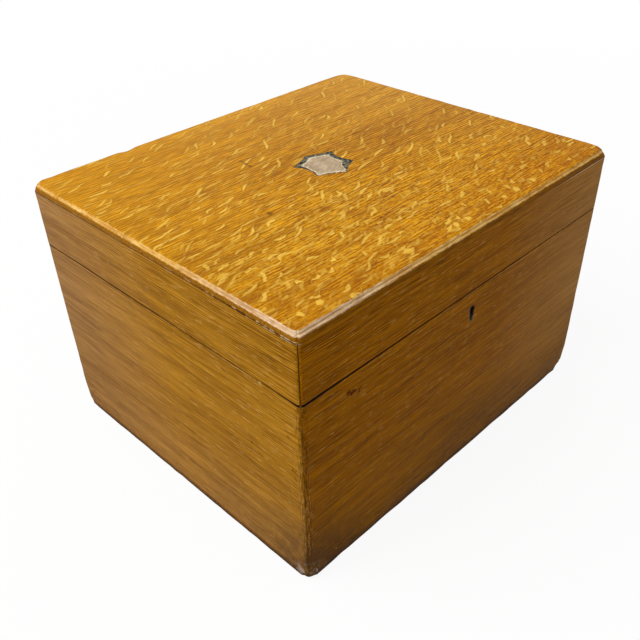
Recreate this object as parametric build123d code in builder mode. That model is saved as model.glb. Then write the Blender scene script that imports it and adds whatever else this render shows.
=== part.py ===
from build123d import *
import os
from math import cos, radians, sin, sqrt

# Oak decanter box: a mitred carcass sawn into box and lid, two stopped butt hinges at the
# back, a link plate lock in the front board, and a divided interior under a padded lid.
# Millimetres. Origin on the floor under the middle of the box, +X right, front at -Y, +Z up.

# Overall size of the closed box, without the hinges
width = 330.0
depth = 277.0
height = 210.0
lid_height = 50.0

# Boards
wall = 10.0
top_thickness = 6.5
bottom_thickness = 7.0
corner_radius = 3.5
top_round = 3.0
foot_round = 2.5
rim_arris = 0.4
rim_gap = 0.3
fit_gap = 0.05

# Shield cartouche, let in flush in the middle of the top board
cartouche_thickness = 0.8
cartouche_head = 23.0
cartouche_foot = 20.6
cartouche_shoulder = (20.8, 14.6)
cartouche_hip = (19.7, -9.4)
cartouche_waist_sag = 4.0
cartouche_head_sag = 0.9
cartouche_foot_sag = 1.2

# Keyhole, measured from the seam down to the key's axis
keyhole_drop = 16.1
escutcheon_height = 13.5
escutcheon_head_radius = 3.1
escutcheon_tail_width = 4.8
escutcheon_rim = 0.9
escutcheon_depth = 2.0

# Stopped butt hinges
hinge_spacing = 190.0
hinge_length = 38.0
hinge_reach = 7.8
leaf_thickness = 1.6
knuckle_radius = 2.6
knuckle_count = 5
knuckle_gap = 0.2
knuckle_relief = 0.25
hinge_pin_radius = 1.2
running_gap = 0.04
hinge_axis_out = 1.2
stop_radius = 5.2
open_angle = 95.0
stop_gap_angle = 0.6

# Countersunk brass wood screws
screw_head_radius = 2.1
screw_head_height = 1.2
screw_shank_radius = 1.1
screw_tip = 2.5
screw_slot = 0.5
screw_slot_depth = 0.5
screw_turn = 35.0
hinge_screw_length = 12.0
hinge_screw_spacing = 12.5
lock_screw_length = 7.0

# Link plate lock
lock_length = 64.0
lock_drop = 34.0
lock_plate_thickness = 1.5
selvedge_thickness = 2.0
selvedge_width = 7.6
case_depth = 5.0
cap_length = 46.0
cap_drop = 30.0
cap_thickness = 0.9
drill_pin_radius = 0.9
lock_screw_inset = 3.6
bolt_stroke = 4.0
bolt_length = 37.0
bolt_start = -21.5
bolt_height = 3.6
bolt_key_clearance = 3.2
bolt_play = 0.3
bolt_finger = 1.6
hook_stem = 3.0
finger_clearance = 0.5
stud_radius = 1.0
stud_play = 0.12
stud_x = 9.0
talon_radius = 1.8
spring_thickness = 0.5
spring_width = 3.6
spring_span = 11.0

# Link plate and its staples, in the lid
link_thickness = 2.0
link_width = 7.6
staple_spread = 24.0
staple_thickness = 2.0
staple_width = 4.2
staple_drop = 9.0
staple_eye_radius = 1.25
staple_eye_rise = 2.6
staple_slot_play = 0.4

# Divided interior
lining = 1.5
divider = 4.0
divider_height = 110.0
divider_round = 1.4
divider_play = 0.1
glass_row_depth = 50.0
decanter_columns = 3
glass_cell_depth = 70.0
shelf_thickness = 4.0
bearer_width = 6.0
bearer_height = 8.0
lid_pad_thickness = 4.0
lid_pad_play = 0.4
lid_pad_round = 1.8

half_width = width / 2
half_depth = depth / 2
inner_half_width = half_width - wall
inner_half_depth = half_depth - wall
seam_z = height - lid_height
box_rim = seam_z - rim_gap / 2
lid_rim = seam_z + rim_gap / 2
lid_ceiling = height - top_thickness
floor_top = bottom_thickness + lining

SIDES = ("front", "right", "back", "left")
CORNERS = ((-1, -1), (1, -1), (1, 1), (-1, 1))


def finish(piece, name):
    """Labels a piece and writes it."""
    piece.part.label = name
    export_step(piece.part, f"parts/{name}.step")


def mitred_board(side, low, high, rim):
    """One side of a carcass ring that is cut into four boards by mitres at its corners.

    The ring's outer edge has a fine arris at the sawn rim, which is its top or its bottom.
    """
    first = SIDES.index(side)
    ends = (CORNERS[first], CORNERS[(first + 1) % len(CORNERS)])
    outline = [(x * half_width, y * half_depth) for x, y in ends]
    outline += [(x * inner_half_width, y * inner_half_depth) for x, y in reversed(ends)]
    with BuildPart() as board:
        with BuildSketch(Plane.XY.offset(low)):
            RectangleRounded(width, depth, corner_radius)
        extrude(amount=high - low)
        rim_face = board.faces().filter_by(Axis.Z).sort_by(Axis.Z)[-1 if rim == "top" else 0]
        chamfer(rim_face.outer_wire().edges(), rim_arris)
        with BuildSketch(Plane.XY.offset(low)):
            with BuildLine():
                Polyline(*outline, close=True)
            make_face()
        extrude(amount=high - low, mode=Mode.INTERSECT)
    return board.part


def screw(length, growth=0.0):
    """A countersunk screw with its head's face at the origin and its point down -Z.

    Growth widens it all round, which makes the hole that it sits in.
    """
    head = screw_head_radius + growth
    shank = screw_shank_radius + growth
    end = -length - growth
    with BuildPart() as body:
        with BuildSketch(Plane.XZ):
            with BuildLine():
                Polyline(
                    (0, 0),
                    (head, 0),
                    (shank, -screw_head_height),
                    (shank, end + screw_tip),
                    (0, end),
                    close=True,
                )
            make_face()
        revolve(axis=Axis.Z)
        if growth == 0:
            with BuildSketch(Plane.XY):
                Rectangle(screw_slot, 2 * head)
            extrude(amount=-screw_slot_depth, mode=Mode.SUBTRACT)
    return body.part


def screw_places(points, outward):
    """Places for screw heads that face outward, each slot turned a little further."""
    places = []
    for count, point in enumerate(points):
        seat = Plane(origin=point, z_dir=outward)
        places.append(seat.location * Rotation(0, 0, count * screw_turn))
    return places


def across(x, y, z):
    """A plane square to X through a point, its own axes along +Y and +Z."""
    return Plane(origin=(x, y, z), x_dir=(0, 1, 0), z_dir=(1, 0, 0))


# Hinges. Both leaves share one section, mirrored about the seam, on the hinge's axis.
hinge_y = half_depth + hinge_axis_out
hinge_centres = (-hinge_spacing / 2, hinge_spacing / 2)
knuckle_pitch = hinge_length / knuckle_count
relief_radius = knuckle_radius + knuckle_relief
leaf_inner_y = half_depth - hinge_reach
leaf_screw_y = (leaf_inner_y + hinge_y - relief_radius) / 2
leaf_screw_xs = (-hinge_screw_spacing, 0, hinge_screw_spacing)


def knuckle_starts(centre_x, lid_side):
    """Where the knuckles of one leaf start along X; the box's leaf has the odd one."""
    first = 1 if lid_side else 0
    start = centre_x - hinge_length / 2
    return [start + count * knuckle_pitch for count in range(first, knuckle_count, 2)]


def hinge_leaf(centre_x, lid_side):
    """A leaf: its plate on the rim, its knuckles, and the stop that stands behind them.

    The stop is a quarter bead against the board's back. At the full opening the two
    leaves' beads meet, face to face but for the stop gap, and hold the lid there.
    """
    up = 1 if lid_side else -1
    near = up * rim_gap / 2
    far = near + up * leaf_thickness
    stop_angle = radians((open_angle + stop_gap_angle) / 2)
    middle_angle = (stop_angle + radians(90)) / 2
    stop_tip = (stop_radius * cos(stop_angle), up * stop_radius * sin(stop_angle))
    stop_middle = (stop_radius * cos(middle_angle), up * stop_radius * sin(middle_angle))
    stop_root = (-hinge_axis_out, up * sqrt(stop_radius**2 - hinge_axis_out**2))
    leaf_end = -hinge_axis_out - hinge_reach
    plate = ((-hinge_axis_out, far), (leaf_end, far), (leaf_end, near), (0, near), (0, 0))
    leaf_start = across(centre_x - hinge_length / 2, hinge_y, seam_z)
    with BuildPart() as leaf:
        with BuildSketch(leaf_start):
            with BuildLine():
                Line((0, 0), stop_tip)
                ThreePointArc(stop_tip, stop_middle, stop_root)
                Polyline(stop_root, *plate)
            make_face()
        extrude(amount=hinge_length)
        for start in knuckle_starts(centre_x, not lid_side):
            with BuildSketch(across(start, hinge_y, seam_z)):
                Circle(relief_radius)
            extrude(amount=knuckle_pitch, mode=Mode.SUBTRACT)
        for start in knuckle_starts(centre_x, lid_side):
            with BuildSketch(across(start + knuckle_gap / 2, hinge_y, seam_z)):
                Circle(knuckle_radius)
            extrude(amount=knuckle_pitch - knuckle_gap)
        with BuildSketch(leaf_start):
            Circle(hinge_pin_radius + running_gap)
        extrude(amount=hinge_length, mode=Mode.SUBTRACT)
        heads = [(centre_x + x, leaf_screw_y, seam_z + near) for x in leaf_screw_xs]
        with Locations(*screw_places(heads, (0, 0, -up))):
            add(screw(hinge_screw_length, fit_gap), mode=Mode.SUBTRACT)
    return leaf


def hinge_seat(centre_x, lid_side):
    """The recess in a back board's rim: leaf bed, knuckle groove and screw holes."""
    up = 1 if lid_side else -1
    rim = up * rim_gap / 2
    bed = rim + up * leaf_thickness
    start = centre_x - hinge_length / 2 - fit_gap
    section = across(start, hinge_y, seam_z)
    reach = hinge_axis_out + hinge_reach + fit_gap
    with BuildPart() as seat:
        with BuildSketch(section):
            Circle(relief_radius)
            with BuildLine():
                Polyline((0, 0), (0, bed), (-reach, bed), (-reach, 0), close=True)
            make_face()
        extrude(amount=hinge_length + 2 * fit_gap)
        heads = [(centre_x + x, leaf_screw_y, seam_z + rim) for x in leaf_screw_xs]
        with Locations(*screw_places(heads, (0, 0, -up))):
            add(screw(hinge_screw_length, fit_gap))
    return seat.part


# Lock. The key's axis, the case and the bolt are set from the rim and the inner face.
key_z = seam_z - keyhole_drop
inner_face_y = -inner_half_depth
plate_face_y = inner_face_y - lock_plate_thickness
case_front_y = plate_face_y - case_depth
bolt_centre_y = plate_face_y - case_depth / 2
selvedge_underside = box_rim - selvedge_thickness
bolt_bottom = key_z + bolt_key_clearance
bolt_top = bolt_bottom + bolt_height
staple_bottom = lid_rim - staple_drop
eye_z = staple_bottom + staple_eye_rise
staple_xs = (-staple_spread / 2, staple_spread / 2)
lock_screw_x = lock_length / 2 - lock_screw_inset
lock_low_screw_z = box_rim - lock_drop + lock_screw_inset
selvedge_screw_y = inner_face_y - selvedge_width / 2
link_y = bolt_centre_y
plate_heads = screw_places(
    [(x, inner_face_y, lock_low_screw_z) for x in (-lock_screw_x, lock_screw_x)], (0, 1, 0)
)
selvedge_heads = screw_places(
    [(x, selvedge_screw_y, box_rim) for x in (-lock_screw_x, lock_screw_x)], (0, 0, 1)
)
link_heads = screw_places(
    [(x, link_y, lid_rim) for x in (-lock_screw_x, lock_screw_x)], (0, 0, -1)
)


def keyhole_face(y, shrink=0.0):
    """The keyhole's outline on a plane square to Y: a round head over a straight tail."""
    head = escutcheon_head_radius - shrink
    tail = escutcheon_tail_width / 2 - shrink
    tail_end = escutcheon_head_radius - escutcheon_height + shrink
    with BuildSketch(Plane(origin=(0, y, key_z), x_dir=(1, 0, 0), z_dir=(0, -1, 0))) as face:
        Circle(head)
        with BuildLine():
            Polyline((-tail, 0), (-tail, tail_end + tail))
            ThreePointArc((-tail, tail_end + tail), (0, tail_end), (tail, tail_end + tail))
            Polyline((tail, tail_end + tail), (tail, 0), (-tail, 0))
        make_face()
    return face.sketch


def lock_mortise():
    """What is cut from the front board: plate bed, selvedge bed and the cap's pocket."""
    with BuildPart() as mortise:
        with BuildSketch(Plane.XZ.offset(-inner_face_y)):
            with Locations((0, box_rim - lock_drop / 2)):
                Rectangle(lock_length + 2 * fit_gap, lock_drop + 2 * fit_gap)
        extrude(amount=lock_plate_thickness + fit_gap)
        with BuildSketch(Plane.XZ.offset(-inner_face_y)):
            with Locations((0, box_rim - selvedge_thickness / 2)):
                Rectangle(lock_length + 2 * fit_gap, selvedge_thickness + 2 * fit_gap)
        extrude(amount=selvedge_width + fit_gap)
        with BuildSketch(Plane.XZ.offset(-inner_face_y)):
            with Locations((0, box_rim - cap_drop / 2)):
                Rectangle(cap_length + 2 * fit_gap, cap_drop + 2 * fit_gap)
        extrude(amount=lock_plate_thickness + case_depth + cap_thickness + fit_gap)
        with Locations(*plate_heads, *selvedge_heads):
            add(screw(lock_screw_length, fit_gap))
    return mortise.part


def shield(growth=0.0):
    """The cartouche's outline: six cusps joined by hollow arcs, the same left and right."""
    head = (0, cartouche_head)
    foot = (0, -cartouche_foot)
    with BuildSketch(Plane.XY.offset(height)) as face:
        with BuildLine():
            SagittaArc(head, cartouche_shoulder, -cartouche_head_sag)
            SagittaArc(cartouche_shoulder, cartouche_hip, -cartouche_waist_sag)
            SagittaArc(cartouche_hip, foot, -cartouche_foot_sag)
            mirror(about=Plane.YZ)
        make_face()
        if growth:
            offset(amount=growth, kind=Kind.INTERSECTION)
    return face.sketch


os.makedirs("parts", exist_ok=True)

# Box carcass
with BuildPart() as bottom_board:
    with BuildSketch():
        RectangleRounded(width, depth, corner_radius)
    extrude(amount=bottom_thickness)
    fillet(bottom_board.faces().sort_by(Axis.Z)[0].edges(), foot_round)
finish(bottom_board, "bottom_board")

with BuildPart() as front_board:
    add(mitred_board("front", bottom_thickness, box_rim, "top"))
    add(lock_mortise(), mode=Mode.SUBTRACT)
    extrude(keyhole_face(-half_depth, -fit_gap), amount=-escutcheon_depth, mode=Mode.SUBTRACT)
    extrude(keyhole_face(-half_depth, escutcheon_rim), amount=-wall, mode=Mode.SUBTRACT)
finish(front_board, "front_board")

with BuildPart() as back_board:
    add(mitred_board("back", bottom_thickness, box_rim, "top"))
    for centre in hinge_centres:
        add(hinge_seat(centre, lid_side=False), mode=Mode.SUBTRACT)
finish(back_board, "back_board")

for side in ("left", "right"):
    with BuildPart() as end_board:
        add(mitred_board(side, bottom_thickness, box_rim, "top"))
    finish(end_board, f"{side}_board")

with BuildPart() as keyhole_escutcheon:
    extrude(keyhole_face(-half_depth), amount=-escutcheon_depth)
    extrude(keyhole_face(-half_depth, escutcheon_rim), amount=-escutcheon_depth, mode=Mode.SUBTRACT)
finish(keyhole_escutcheon, "keyhole_escutcheon")

# Lid
with BuildPart() as lid_top_board:
    with BuildSketch(Plane.XY.offset(lid_ceiling)):
        RectangleRounded(width, depth, corner_radius)
    extrude(amount=top_thickness)
    fillet(lid_top_board.faces().sort_by(Axis.Z)[-1].edges(), top_round)
    extrude(shield(fit_gap), amount=-cartouche_thickness, mode=Mode.SUBTRACT)
finish(lid_top_board, "lid_top_board")

with BuildPart() as lid_cartouche:
    extrude(shield(), amount=-cartouche_thickness)
finish(lid_cartouche, "lid_cartouche")

with BuildPart() as lid_front_rail:
    add(mitred_board("front", lid_rim, lid_ceiling, "bottom"))
    with BuildSketch(Plane.XY.offset(lid_rim)):
        with Locations((0, link_y)):
            Rectangle(lock_length + 2 * fit_gap, link_width + 2 * fit_gap)
    extrude(amount=link_thickness, mode=Mode.SUBTRACT)
    with Locations(*link_heads):
        add(screw(lock_screw_length, fit_gap), mode=Mode.SUBTRACT)
finish(lid_front_rail, "lid_front_rail")

with BuildPart() as lid_back_rail:
    add(mitred_board("back", lid_rim, lid_ceiling, "bottom"))
    for centre in hinge_centres:
        add(hinge_seat(centre, lid_side=True), mode=Mode.SUBTRACT)
finish(lid_back_rail, "lid_back_rail")

for side in ("left", "right"):
    with BuildPart() as lid_end_rail:
        add(mitred_board(side, lid_rim, lid_ceiling, "bottom"))
    finish(lid_end_rail, f"lid_{side}_rail")

with BuildPart() as lid_pad:
    with BuildSketch(Plane.XY.offset(lid_ceiling)):
        pad_width = 2 * (inner_half_width - lid_pad_play)
        pad_depth = 2 * (inner_half_depth - lid_pad_play)
        Rectangle(pad_width, pad_depth)
    extrude(amount=-lid_pad_thickness)
    fillet(lid_pad.faces().sort_by(Axis.Z)[0].edges(), lid_pad_round)
finish(lid_pad, "lid_pad")

# Hinges with their pins and screws
for name, centre in zip(("left", "right"), hinge_centres):
    finish(hinge_leaf(centre, lid_side=False), f"{name}_hinge_lower_leaf")
    finish(hinge_leaf(centre, lid_side=True), f"{name}_hinge_upper_leaf")
    with BuildPart() as hinge_pin:
        with BuildSketch(across(centre - hinge_length / 2, hinge_y, seam_z)):
            Circle(hinge_pin_radius)
        extrude(amount=hinge_length)
    finish(hinge_pin, f"{name}_hinge_pin")

screw_points = [(centre + x, leaf_screw_y) for centre in hinge_centres for x in leaf_screw_xs]
with BuildPart() as hinge_box_screws:
    with Locations(*screw_places([(x, y, box_rim) for x, y in screw_points], (0, 0, 1))):
        add(screw(hinge_screw_length))
finish(hinge_box_screws, "hinge_box_screws")

with BuildPart() as hinge_lid_screws:
    with Locations(*screw_places([(x, y, lid_rim) for x, y in screw_points], (0, 0, -1))):
        add(screw(hinge_screw_length))
finish(hinge_lid_screws, "hinge_lid_screws")

# Lock plate: the inner plate and the selvedge in one piece, with the stud that the bolt
# slides on and the slots that the link plate's staples drop through
with BuildPart() as lock_plate:
    with BuildSketch(Plane.YZ.offset(-lock_length / 2)):
        with BuildLine():
            Polyline(
                (inner_face_y, box_rim),
                (inner_face_y, box_rim - lock_drop),
                (plate_face_y, box_rim - lock_drop),
                (plate_face_y, selvedge_underside),
                (inner_face_y - selvedge_width, selvedge_underside),
                (inner_face_y - selvedge_width, box_rim),
                close=True,
            )
        make_face()
    extrude(amount=lock_length)
    with BuildSketch(Plane.XZ.offset(-plate_face_y)):
        with Locations((stud_x, bolt_bottom + bolt_height / 2)):
            Circle(stud_radius)
    extrude(amount=case_depth)
    with BuildSketch(Plane.XY.offset(box_rim)):
        with Locations(*[(x, link_y) for x in staple_xs]):
            Rectangle(
                staple_thickness + 2 * staple_slot_play, staple_width + 2 * staple_slot_play
            )
    extrude(amount=-selvedge_thickness, mode=Mode.SUBTRACT)
    with Locations(*plate_heads, *selvedge_heads):
        add(screw(lock_screw_length, fit_gap), mode=Mode.SUBTRACT)
    with BuildSketch(Plane.XZ.offset(-inner_face_y)):
        with Locations((0, key_z)):
            Circle(drill_pin_radius + fit_gap)
    extrude(amount=lock_plate_thickness, mode=Mode.SUBTRACT)
finish(lock_plate, "lock_plate")

with BuildPart() as lock_drill_pin:
    with BuildSketch(Plane.XZ.offset(-inner_face_y)):
        with Locations((0, key_z)):
            Circle(drill_pin_radius)
    extrude(amount=wall - escutcheon_depth)
finish(lock_drill_pin, "lock_drill_pin")

# The cap: a tray whose open top is closed by the selvedge and open back by the plate
cap_top = selvedge_underside - fit_gap
cap_bottom = box_rim - cap_drop
with BuildPart() as lock_cap:
    with BuildSketch(Plane.XZ.offset(-plate_face_y)):
        with Locations((0, (cap_top + cap_bottom) / 2)):
            Rectangle(cap_length, cap_top - cap_bottom)
    extrude(amount=case_depth + cap_thickness)
    with BuildSketch(Plane.XZ.offset(-plate_face_y)):
        with Locations((0, (cap_top + cap_bottom + cap_thickness) / 2)):
            Rectangle(cap_length - 2 * cap_thickness, cap_top - cap_bottom - cap_thickness)
    extrude(amount=case_depth, mode=Mode.SUBTRACT)
    extrude(keyhole_face(case_front_y, escutcheon_rim), amount=cap_thickness, mode=Mode.SUBTRACT)
finish(lock_cap, "lock_cap")

with BuildPart() as lock_screws:
    with Locations(*plate_heads, *selvedge_heads):
        add(screw(lock_screw_length))
finish(lock_screws, "lock_screws")

# Bolt: a bar with two hooks whose fingers pass through the staples' eyes, a talon for the
# key and a slot for the stud
bolt_thickness = case_depth - 2 * bolt_play
finger_length = bolt_stroke + finger_clearance
finger_top = eye_z + bolt_finger / 2
with BuildPart() as lock_bolt:
    bolt_plane = Plane.XZ.offset(-(bolt_centre_y + bolt_thickness / 2))
    with BuildSketch(bolt_plane):
        with Locations((bolt_start + bolt_length / 2, bolt_bottom + bolt_height / 2)):
            Rectangle(bolt_length, bolt_height)
        with Locations((-bolt_stroke / 2, bolt_bottom)):
            Circle(talon_radius, mode=Mode.SUBTRACT)
        with Locations((stud_x - bolt_stroke / 2, bolt_bottom + bolt_height / 2)):
            slot_width = 2 * (stud_radius + stud_play)
            SlotOverall(bolt_stroke + slot_width, slot_width, mode=Mode.SUBTRACT)
    extrude(amount=bolt_thickness)
    finger_roots = [x - staple_thickness / 2 - finger_clearance - finger_length for x in staple_xs]
    with BuildSketch(bolt_plane):
        for root in finger_roots:
            with Locations((root - hook_stem / 2, (bolt_top + finger_top) / 2)):
                Rectangle(hook_stem, finger_top - bolt_top)
    extrude(amount=bolt_thickness)
    with BuildSketch(Plane.XZ.offset(-(bolt_centre_y + bolt_finger / 2))):
        for root in finger_roots:
            with Locations((root + finger_length / 2, eye_z)):
                Rectangle(finger_length, bolt_finger)
    extrude(amount=bolt_finger)
finish(lock_bolt, "lock_bolt")

# Back spring: a flat strip that stands on the bolt and bows up under the selvedge
with BuildPart() as lock_spring:
    spring_foot = finger_roots[1] - hook_stem - finger_clearance
    spring_low = bolt_top + spring_thickness / 2
    spring_high = selvedge_underside - spring_thickness - bolt_play
    with BuildSketch(Plane.XZ.offset(-(bolt_centre_y + spring_width / 2))):
        with BuildLine():
            foot = Line((spring_foot, spring_low), (spring_foot - spring_span / 4, spring_low))
            TangentArc(
                foot @ 1, (spring_foot - spring_span, spring_high), tangent=(-1, 0)
            )
        trace(line_width=spring_thickness)
    extrude(amount=spring_width)
finish(lock_spring, "lock_spring")

with BuildPart() as link_plate:
    with BuildSketch(Plane.XY.offset(lid_rim)):
        with Locations((0, link_y)):
            Rectangle(lock_length, link_width)
    extrude(amount=link_thickness)
    for x in staple_xs:
        with BuildSketch(Plane.YZ.offset(x - staple_thickness / 2)):
            with Locations((link_y, lid_rim - staple_drop / 2 + staple_width / 4)):
                Rectangle(staple_width, staple_drop - staple_width / 2)
            with Locations((link_y, staple_bottom + staple_width / 2)):
                Circle(staple_width / 2)
            with Locations((link_y, eye_z)):
                Circle(staple_eye_radius, mode=Mode.SUBTRACT)
        extrude(amount=staple_thickness)
    with Locations(*link_heads):
        add(screw(lock_screw_length, fit_gap), mode=Mode.SUBTRACT)
finish(link_plate, "link_plate")

with BuildPart() as link_screws:
    with Locations(*link_heads):
        add(screw(lock_screw_length))
finish(link_screws, "link_screws")

# Linings: velvet on card, the base first, then the four walls standing on it
lining_half_width = inner_half_width - lining
lining_half_depth = inner_half_depth - lining
with BuildPart() as base_lining:
    with BuildSketch(Plane.XY.offset(bottom_thickness)):
        Rectangle(2 * inner_half_width, 2 * inner_half_depth)
    extrude(amount=lining)
finish(base_lining, "base_lining")

for name, sign in (("front", -1), ("back", 1)):
    with BuildPart() as long_lining:
        with BuildSketch(Plane.XY.offset(floor_top)):
            with Locations((0, sign * (inner_half_depth - lining / 2))):
                Rectangle(2 * inner_half_width, lining)
        extrude(amount=divider_height)
    finish(long_lining, f"{name}_lining")

for name, sign in (("left", -1), ("right", 1)):
    with BuildPart() as end_lining:
        with BuildSketch(Plane.XY.offset(floor_top)):
            with Locations((sign * (inner_half_width - lining / 2), 0)):
                Rectangle(lining, 2 * lining_half_depth)
        extrude(amount=divider_height)
    finish(end_lining, f"{name}_lining")

# Dividers, crosslapped: those along the box are slotted from the top, those across it
# from below. The front row holds glasses and the two rows behind it decanters.
divider_top = floor_top + divider_height
column_pitch = (2 * lining_half_width + divider) / decanter_columns
cross_xs = [
    (count - decanter_columns / 2) * column_pitch for count in range(1, decanter_columns)
]
glass_divider_xs = [
    (count + 0.5 - decanter_columns / 2) * column_pitch for count in range(decanter_columns)
]
glass_divider_y = -lining_half_depth + glass_row_depth + divider / 2
decanter_row_depth = (lining_half_depth - glass_divider_y - divider / 2 - divider) / 2
middle_divider_y = lining_half_depth - decanter_row_depth - divider / 2
long_ys = (glass_divider_y, middle_divider_y)
slot = divider + 2 * divider_play
half_lap = divider_height / 2 + divider_play

for name, y in zip(("glass_row_divider", "decanter_row_divider"), long_ys):
    with BuildPart() as long_divider:
        with BuildSketch(Plane.XY.offset(floor_top)):
            with Locations((0, y)):
                Rectangle(2 * (lining_half_width - divider_play), divider)
        extrude(amount=divider_height)
        top_edges = long_divider.edges().filter_by(Axis.X).group_by(Axis.Z)[-1]
        fillet(top_edges, divider_round)
        with BuildSketch(Plane.XY.offset(divider_top)):
            with Locations(*[(x, y) for x in cross_xs]):
                Rectangle(slot, divider)
        extrude(amount=-half_lap, mode=Mode.SUBTRACT)
    finish(long_divider, name)

for name, x in zip(("left_cross_divider", "right_cross_divider"), cross_xs):
    with BuildPart() as cross_divider:
        with BuildSketch(Plane.XY.offset(floor_top)):
            with Locations((x, 0)):
                Rectangle(divider, 2 * (lining_half_depth - divider_play))
        extrude(amount=divider_height)
        top_edges = cross_divider.edges().filter_by(Axis.Y).group_by(Axis.Z)[-1]
        fillet(top_edges, divider_round)
        with BuildSketch(Plane.XY.offset(floor_top)):
            with Locations(*[(x, y) for y in long_ys]):
                Rectangle(divider, slot)
        extrude(amount=half_lap, mode=Mode.SUBTRACT)
    finish(cross_divider, name)

# Glass row: raised shelves on bearers, with a short divider standing on each shelf
shelf_top = divider_top - glass_cell_depth
shelf_bottom = shelf_top - shelf_thickness
glass_row_back = glass_divider_y - divider / 2
glass_row_y = (glass_row_back - lining_half_depth) / 2
bay_width = column_pitch - divider - 2 * divider_play
bay_depth = glass_row_depth - 2 * divider_play
with BuildPart() as glass_shelves:
    with BuildSketch(Plane.XY.offset(shelf_bottom)):
        with Locations(*[(x, glass_row_y) for x in glass_divider_xs]):
            Rectangle(bay_width, bay_depth)
    extrude(amount=shelf_thickness)
finish(glass_shelves, "glass_shelves")

bearer_ys = (
    glass_row_y - bay_depth / 2 + bearer_width / 2,
    glass_row_y + bay_depth / 2 - bearer_width / 2,
)
with BuildPart() as shelf_bearers:
    with BuildSketch(Plane.XY.offset(shelf_bottom - bearer_height)):
        with Locations(*[(x, y) for x in glass_divider_xs for y in bearer_ys]):
            Rectangle(bay_width, bearer_width)
    extrude(amount=bearer_height)
finish(shelf_bearers, "shelf_bearers")

for name, x in zip(("left", "middle", "right"), glass_divider_xs):
    with BuildPart() as glass_divider:
        with BuildSketch(Plane.XY.offset(shelf_top)):
            with Locations((x, glass_row_y)):
                Rectangle(divider, bay_depth)
        extrude(amount=glass_cell_depth)
        top_edges = glass_divider.edges().filter_by(Axis.Y).group_by(Axis.Z)[-1]
        fillet(top_edges, divider_round)
    finish(glass_divider, f"{name}_glass_divider")
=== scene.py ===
"""Looks of the decanter box: worn oak boards, metalwork, velvet, lid pad, light and camera."""

import math

import bmesh
import bpy
from mathutils import Matrix, Vector, noise


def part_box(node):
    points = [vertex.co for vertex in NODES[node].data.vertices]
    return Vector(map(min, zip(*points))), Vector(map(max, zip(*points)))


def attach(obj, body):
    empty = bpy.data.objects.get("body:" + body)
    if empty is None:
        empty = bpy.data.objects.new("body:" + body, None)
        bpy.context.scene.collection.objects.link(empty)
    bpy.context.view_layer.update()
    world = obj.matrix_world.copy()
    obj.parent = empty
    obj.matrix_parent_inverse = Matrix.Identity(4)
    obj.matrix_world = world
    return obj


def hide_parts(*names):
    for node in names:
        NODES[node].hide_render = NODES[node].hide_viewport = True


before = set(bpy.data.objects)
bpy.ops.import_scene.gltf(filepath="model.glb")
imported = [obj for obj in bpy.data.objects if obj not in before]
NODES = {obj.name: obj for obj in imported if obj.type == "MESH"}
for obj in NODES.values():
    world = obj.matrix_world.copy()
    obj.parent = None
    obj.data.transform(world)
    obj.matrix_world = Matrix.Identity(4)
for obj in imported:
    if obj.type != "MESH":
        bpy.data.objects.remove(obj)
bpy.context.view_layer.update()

MM = 0.001
WIDTH = 330.0
DEPTH = 277.0
HEIGHT = 210.0
LEFT = -WIDTH / 2
FRONT = -DEPTH / 2
SEAM_AT = 160.0
TOP_JOINT_AT = 203.5
# x minus y on the near mitre, and x plus y at the near corner.
MITRE_AT = LEFT - FRONT
CORNER_AT = LEFT + FRONT

# Camera, light and floor

SENSOR = 36
LENS = 43.058
SHIFT = (-0.003125, 0.04)
EYE = Vector((-0.38084, -0.37507, 0.44496))
FORWARD = Vector((0.56126, 0.56749, -0.60245)).normalized()
UP = Vector((0.44225, 0.40963, 0.79788))


def link(name, data):
    made = bpy.data.objects.new(name, data)
    bpy.context.scene.collection.objects.link(made)
    return made


def facing(place, forward, up):
    """The world matrix of a camera or lamp at place that looks along forward."""
    right = forward.cross(up).normalized()
    above = right.cross(forward)
    turn = Matrix((right, above, -forward)).transposed().to_4x4()
    return Matrix.Translation(place) @ turn


def add_camera():
    data = bpy.data.cameras.new("camera")
    data.sensor_width = SENSOR
    data.lens = LENS
    data.shift_x, data.shift_y = SHIFT
    camera = link("camera", data)
    camera.matrix_world = facing(EYE, FORWARD, UP)
    bpy.context.scene.camera = camera


def add_lamp(name, place, size, level):
    """A square soft lamp aimed at the box. At level 1 it lights a white card up to white."""
    data = bpy.data.lights.new(name, "AREA")
    data.size = size
    place = Vector(place)
    aim = Vector((0, 0, 0.12)) - place
    data.energy = level * math.pi**2 * aim.length**2
    lamp = link(name, data)
    lamp.matrix_world = facing(place, aim.normalized(), Vector((0.1, 0.9, 0.3)))


# Node graphs


def linear(colour):
    """A colour written as three numbers up to 255, as the shader takes it."""
    out = []
    for c in colour:
        c = c / 255
        out.append(c / 12.92 if c <= 0.04045 else ((c + 0.055) / 1.055) ** 2.4)
    return (*out, 1)


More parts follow.
